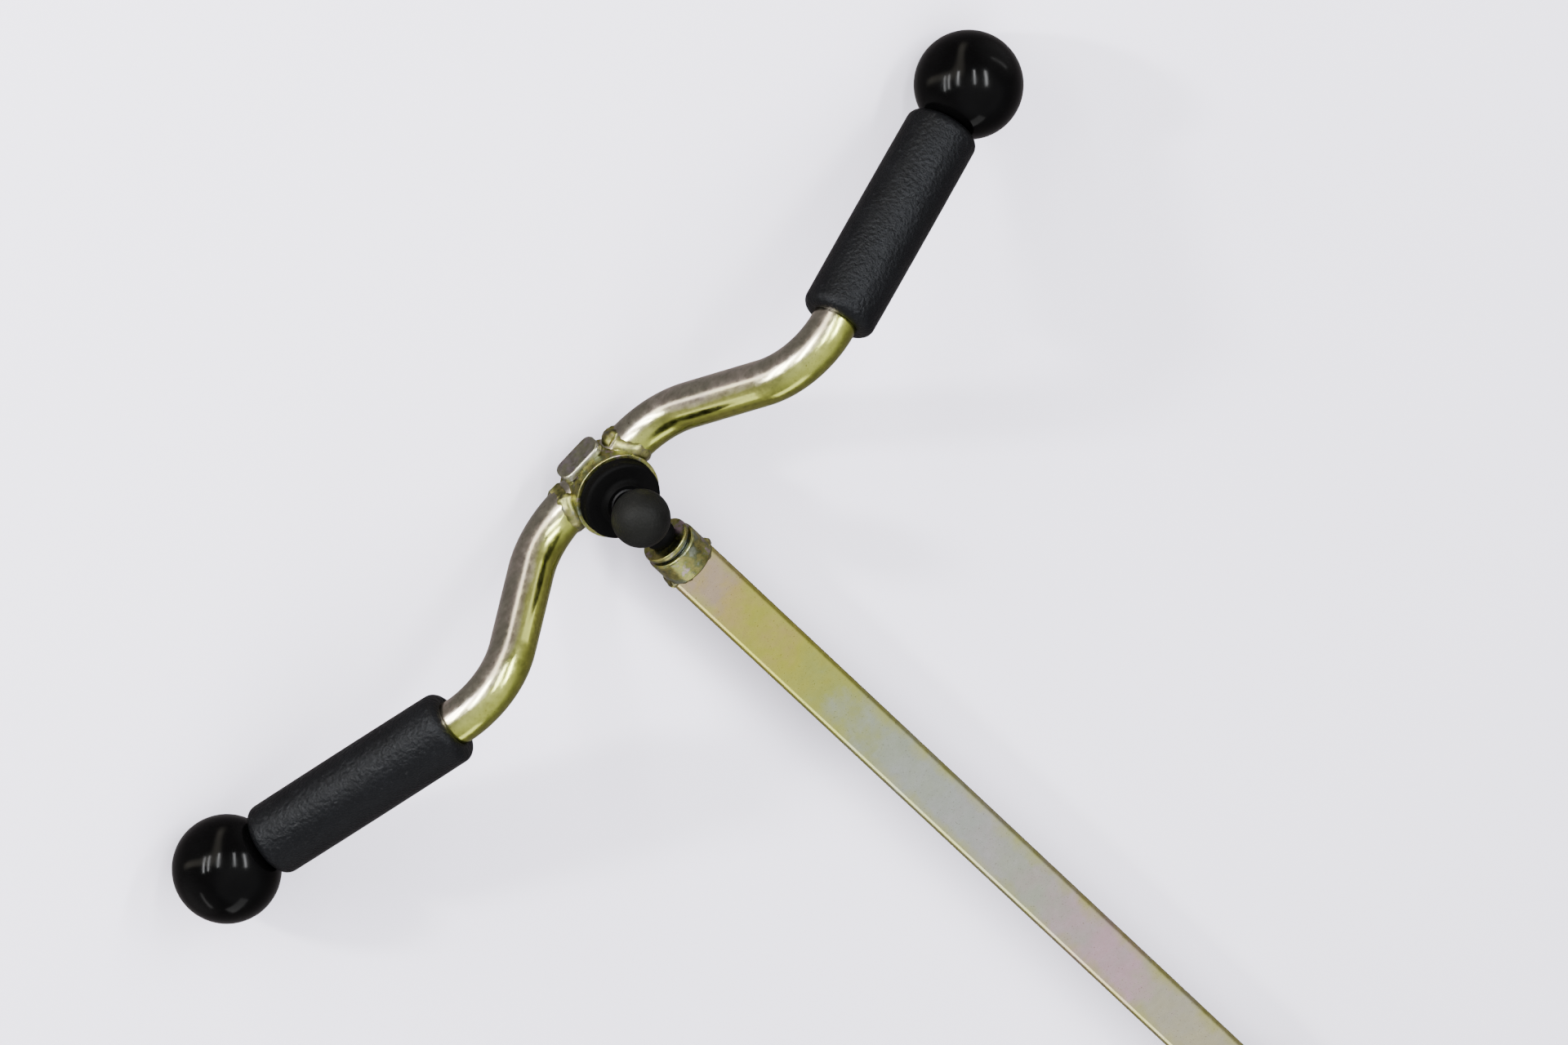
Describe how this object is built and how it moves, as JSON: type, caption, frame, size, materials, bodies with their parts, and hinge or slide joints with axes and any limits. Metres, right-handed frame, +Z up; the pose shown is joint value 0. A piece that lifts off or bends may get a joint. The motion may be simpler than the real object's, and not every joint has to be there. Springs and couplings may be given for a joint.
{
  "type": "winch handle",
  "caption": "Two-handed winch handle: flat steel arm with a square drive boss and a cranked handlebar with rubber grips and ball ends, turning on a spindle, with a spring plunger.",
  "frame": {"origin": "middle of the handle's footprint, on the surface it rests on", "axes": "+Y runs along the arm from the drive socket to the handlebar, +X across it along the handlebar, +Z up, the way the plunger's knob is pulled and the drive socket runs through the arm"},
  "size_m": [0.5392, 0.6014, 0.0907],
  "materials": {
    "zinc": "yellow passivated zinc plate, uneven iridescent film",
    "dark_steel": "dark machined steel",
    "bronze": "plain bearing bronze",
    "brass": "turned brass",
    "spring_steel": "bright drawn wire",
    "grip_rubber": "matte black, fine grain",
    "boot_rubber": "matte black, smooth",
    "ball_plastic": "polished black",
    "knob_plastic": "satin black"
  },
  "bodies": {
    "arm": {"arm_bar": "zinc", "drive_boss": "zinc", "drive_lock_screw": "dark_steel", "spindle_boss": "zinc", "thrust_washer": "dark_steel", "spindle_collar": "zinc", "spindle": "dark_steel", "spindle_boot": "boot_rubber"},
    "handlebar": {"hub_housing": "zinc", "hub_sleeve": "zinc", "hub_end_cap": "zinc", "rear_bush": "bronze", "front_bush": "bronze", "plunger_guide": "dark_steel", "plunger_boot": "boot_rubber", "plunger_spring": "spring_steel", "right_tube": "zinc", "right_grip": "grip_rubber", "right_tube_plug": "dark_steel", "right_ball_stud": "dark_steel", "right_ball_insert": "brass", "right_ball": "ball_plastic", "left_tube": "zinc", "left_grip": "grip_rubber", "left_tube_plug": "dark_steel", "left_ball_stud": "dark_steel", "left_ball_insert": "brass", "left_ball": "ball_plastic"},
    "plunger": {"plunger_pin": "dark_steel", "plunger_knob": "knob_plastic"}
  },
  "joints": [
    {"name": "handlebar_swivel", "type": "hinge", "parent": "arm", "child": "handlebar", "pos_m": [0, 0.27575, 0.025], "axis": [0, 1, 0], "continuous": true},
    {"name": "plunger_pull", "type": "slide", "parent": "handlebar", "child": "plunger", "axis": [0, 0, 1], "range_m": [0, 0.004], "stiffness_N_per_m": 1500, "springref_m": -0.003, "deforming": ["plunger_spring"]}
  ]
}
